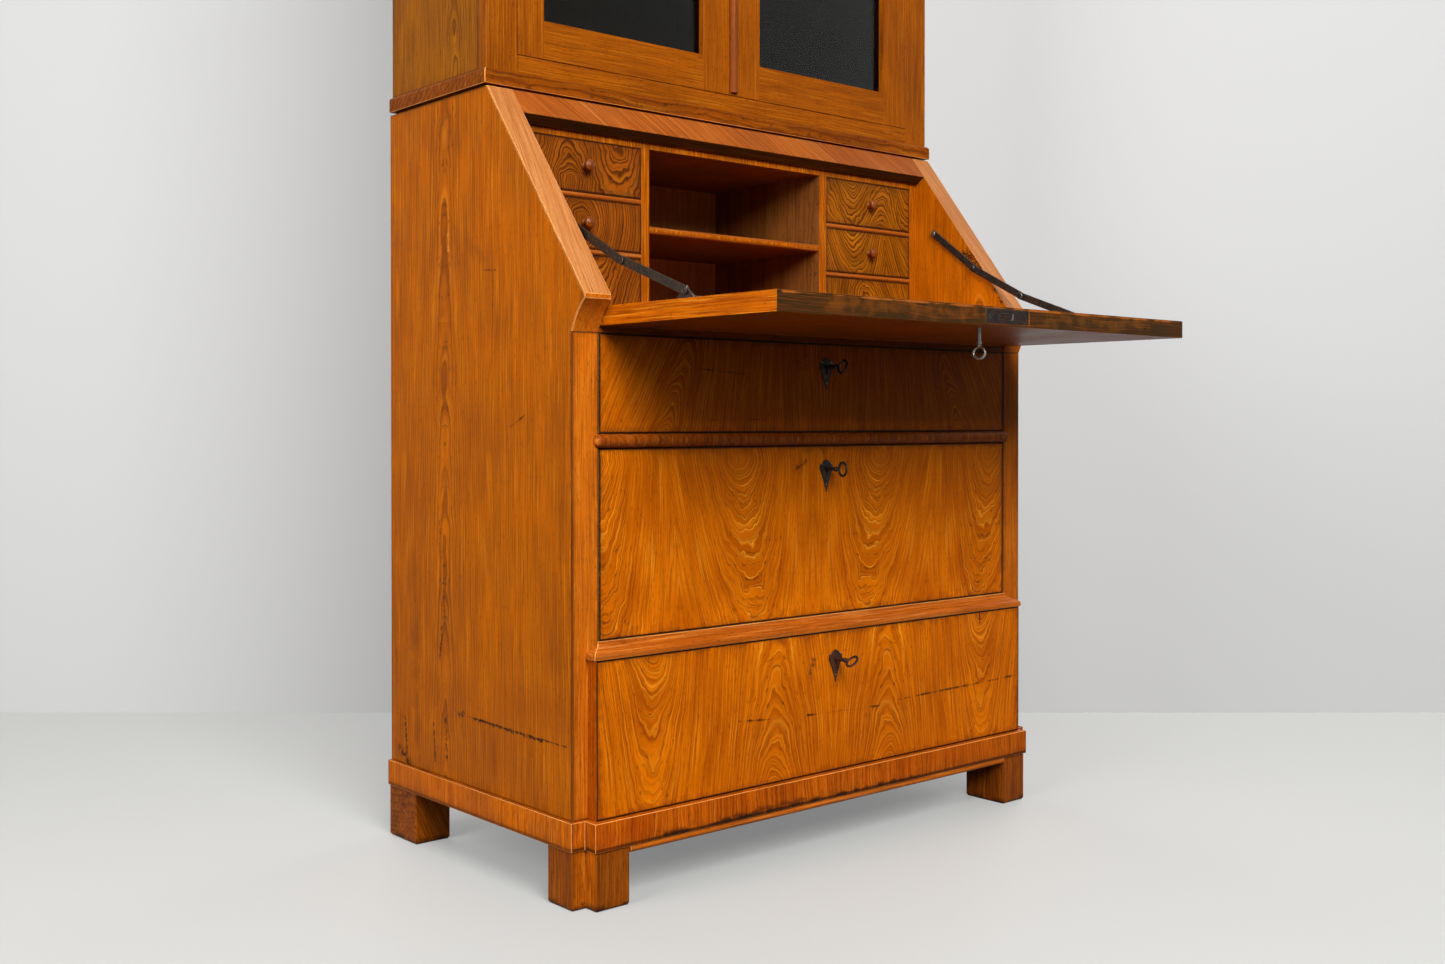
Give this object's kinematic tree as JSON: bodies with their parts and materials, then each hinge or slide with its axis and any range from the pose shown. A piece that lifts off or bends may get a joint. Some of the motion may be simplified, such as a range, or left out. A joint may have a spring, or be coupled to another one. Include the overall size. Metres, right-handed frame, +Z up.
{
  "type": "slant front secretaire",
  "caption": "Slant front secretaire: long drawers and a fall on iron stays over a plinth, a pigeonhole case behind, a two door glazed cabinet on top.",
  "frame": {"origin": "on the floor, under the middle of the box of the secretaire with its fall open", "axes": "+Z up, +Y from the front to the back, +X to the right seen from the front"},
  "size_m": [1.014, 0.8434, 2.103],
  "materials": {
    "side_elm": "shellac",
    "front_elm": "shellac",
    "pale_elm": "shellac",
    "dark_elm": "dull",
    "pine": "bare",
    "iron": "rusty",
    "window_glass": "clear"
  },
  "bodies": {
    "root": {"left_side": "side_elm", "left_stile": "pale_elm", "left_cheek": "pale_elm", "left_front_foot": "side_elm", "left_back_foot": "side_elm", "cabinet_left_side": "side_elm", "right_side": "side_elm", "right_stile": "pale_elm", "right_cheek": "pale_elm", "right_front_foot": "side_elm", "right_back_foot": "side_elm", "cabinet_right_side": "side_elm", "lower_back": "pine", "bottom_board": "pine", "lower_dust_board": "pine", "upper_dust_board": "pine", "half_round_bead": "front_elm", "step_moulding": "front_elm", "desk_board": "front_elm", "slope_rail": "pale_elm", "top_board": "pine", "plinth_frame": "front_elm", "pigeonhole_case": "front_elm", "cabinet_base": "side_elm", "cabinet_back": "pine", "cabinet_face_frame": "side_elm", "cornice": "side_elm", "cabinet_lower_shelf": "dark_elm", "cabinet_upper_shelf": "dark_elm"},
    "fall_body": {"fall": "front_elm", "fall_lock": "iron", "left_stay_fall_bracket": "iron", "right_stay_fall_bracket": "iron"},
    "fall_key_body": {"fall_key": "iron"},
    "top_drawer_body": {"top_drawer": "front_elm", "top_drawer_shield": "iron"},
    "top_key_body": {"top_drawer_key": "iron"},
    "middle_drawer_body": {"middle_drawer": "front_elm", "middle_drawer_shield": "iron"},
    "middle_key_body": {"middle_drawer_key": "iron"},
    "bottom_drawer_body": {"bottom_drawer": "front_elm", "bottom_drawer_shield": "iron"},
    "bottom_key_body": {"bottom_drawer_key": "iron"},
    "left_lower_small_body": {"left_lower_small_drawer": "front_elm"},
    "left_middle_small_body": {"left_middle_small_drawer": "front_elm"},
    "left_upper_small_body": {"left_upper_small_drawer": "front_elm"},
    "right_lower_small_body": {"right_lower_small_drawer": "front_elm"},
    "right_middle_small_body": {"right_middle_small_drawer": "front_elm"},
    "right_upper_small_body": {"right_upper_small_drawer": "front_elm"},
    "left_door_body": {"left_door": "side_elm", "left_door_glass": "window_glass"},
    "right_door_body": {"right_door": "side_elm", "right_door_glass": "window_glass"},
    "door_key_body": {"door_key": "iron"},
    "left_stay_upper_body": {"left_stay_upper_link": "iron"},
    "left_stay_middle_body": {"left_stay_middle_link": "iron"},
    "left_stay_lower_body": {"left_stay_lower_link": "iron"},
    "right_stay_upper_body": {"right_stay_upper_link": "iron"},
    "right_stay_middle_body": {"right_stay_middle_link": "iron"},
    "right_stay_lower_body": {"right_stay_lower_link": "iron"}
  },
  "joints": [
    {"name": "fall_hinge", "type": "hinge", "parent": "root", "child": "fall_body", "pos_m": [0, -0.07969, 0.808], "axis": [1, 0, 0], "range_deg": [-127.4, 0]},
    {"name": "fall_key_turn", "type": "hinge", "parent": "fall_body", "child": "fall_key_body", "pos_m": [0, -0.37169, 0.7817], "axis": [0, 0, 1], "range_deg": [0, 90]},
    {"name": "top_drawer_slide", "type": "slide", "parent": "root", "child": "top_drawer_body", "axis": [0, -1, 0], "range_m": [0, 0.23]},
    {"name": "top_key_turn", "type": "hinge", "parent": "top_drawer_body", "child": "top_key_body", "pos_m": [0, -0.07461, 0.7362], "axis": [0, 1, 0], "range_deg": [0, 90]},
    {"name": "middle_drawer_slide", "type": "slide", "parent": "root", "child": "middle_drawer_body", "axis": [0, -1, 0], "range_m": [0, 0.3]},
    {"name": "middle_key_turn", "type": "hinge", "parent": "middle_drawer_body", "child": "middle_key_body", "pos_m": [0, -0.07461, 0.5802], "axis": [0, 1, 0], "range_deg": [0, 90]},
    {"name": "bottom_drawer_slide", "type": "slide", "parent": "root", "child": "bottom_drawer_body", "axis": [0, -1, 0], "range_m": [0, 0.3]},
    {"name": "bottom_key_turn", "type": "hinge", "parent": "bottom_drawer_body", "child": "bottom_key_body", "pos_m": [0, -0.09461, 0.2902], "axis": [0, 1, 0], "range_deg": [0, 90]},
    {"name": "left_lower_small_slide", "type": "slide", "parent": "root", "child": "left_lower_small_body", "axis": [0, -1, 0], "range_m": [0, 0.2]},
    {"name": "left_middle_small_slide", "type": "slide", "parent": "root", "child": "left_middle_small_body", "axis": [0, -1, 0], "range_m": [0, 0.2]},
    {"name": "left_upper_small_slide", "type": "slide", "parent": "root", "child": "left_upper_small_body", "axis": [0, -1, 0], "range_m": [0, 0.2]},
    {"name": "right_lower_small_slide", "type": "slide", "parent": "root", "child": "right_lower_small_body", "axis": [0, -1, 0], "range_m": [0, 0.2]},
    {"name": "right_middle_small_slide", "type": "slide", "parent": "root", "child": "right_middle_small_body", "axis": [0, -1, 0], "range_m": [0, 0.2]},
    {"name": "right_upper_small_slide", "type": "slide", "parent": "root", "child": "right_upper_small_body", "axis": [0, -1, 0], "range_m": [0, 0.2]},
    {"name": "left_door_hinge", "type": "hinge", "parent": "root", "child": "left_door_body", "pos_m": [-0.42, 0.14069, 1.1884], "axis": [0, 0, -1], "range_deg": [0, 110]},
    {"name": "right_door_hinge", "type": "hinge", "parent": "root", "child": "right_door_body", "pos_m": [0.42, 0.14069, 1.1884], "axis": [0, 0, 1], "range_deg": [0, 110]},
    {"name": "door_key_turn", "type": "hinge", "parent": "right_door_body", "child": "door_key_body", "pos_m": [0.03675, 0.14239, 1.55682], "axis": [0, 1, 0], "range_deg": [0, 90]},
    {"name": "left_stay_wall_pivot", "type": "hinge", "parent": "root", "child": "left_stay_upper_body", "pos_m": [-0.43, 0.08329, 0.9917], "axis": [1, 0, 0], "range_deg": [0, 38.38]},
    {"name": "left_stay_knee", "type": "hinge", "parent": "left_stay_upper_body", "child": "left_stay_middle_body", "pos_m": [-0.427, -0.00987, 0.92224], "axis": [1, 0, 0], "range_deg": [-34.37, 0]},
    {"name": "left_stay_fall_pivot", "type": "hinge", "parent": "fall_body", "child": "left_stay_lower_body", "pos_m": [-0.423, -0.24429, 0.819], "axis": [1, 0, 0], "range_deg": [-16.64, 0]},
    {"name": "right_stay_wall_pivot", "type": "hinge", "parent": "root", "child": "right_stay_upper_body", "pos_m": [0.43, 0.08329, 0.9917], "axis": [1, 0, 0], "range_deg": [0, 38.38]},
    {"name": "right_stay_knee", "type": "hinge", "parent": "right_stay_upper_body", "child": "right_stay_middle_body", "pos_m": [0.427, -0.00987, 0.92224], "axis": [1, 0, 0], "range_deg": [-34.37, 0]},
    {"name": "right_stay_fall_pivot", "type": "hinge", "parent": "fall_body", "child": "right_stay_lower_body", "pos_m": [0.423, -0.24429, 0.819], "axis": [1, 0, 0], "range_deg": [-16.64, 0]}
  ],
  "couplings": [
    {"joint": "left_stay_wall_pivot", "follows": "fall_hinge", "ratio": -0.3005},
    {"joint": "left_stay_knee", "follows": "fall_hinge", "ratio": 0.269},
    {"joint": "left_stay_fall_pivot", "follows": "fall_hinge", "ratio": 0.1298},
    {"joint": "right_stay_wall_pivot", "follows": "fall_hinge", "ratio": -0.3005},
    {"joint": "right_stay_knee", "follows": "fall_hinge", "ratio": 0.269},
    {"joint": "right_stay_fall_pivot", "follows": "fall_hinge", "ratio": 0.1298}
  ]
}
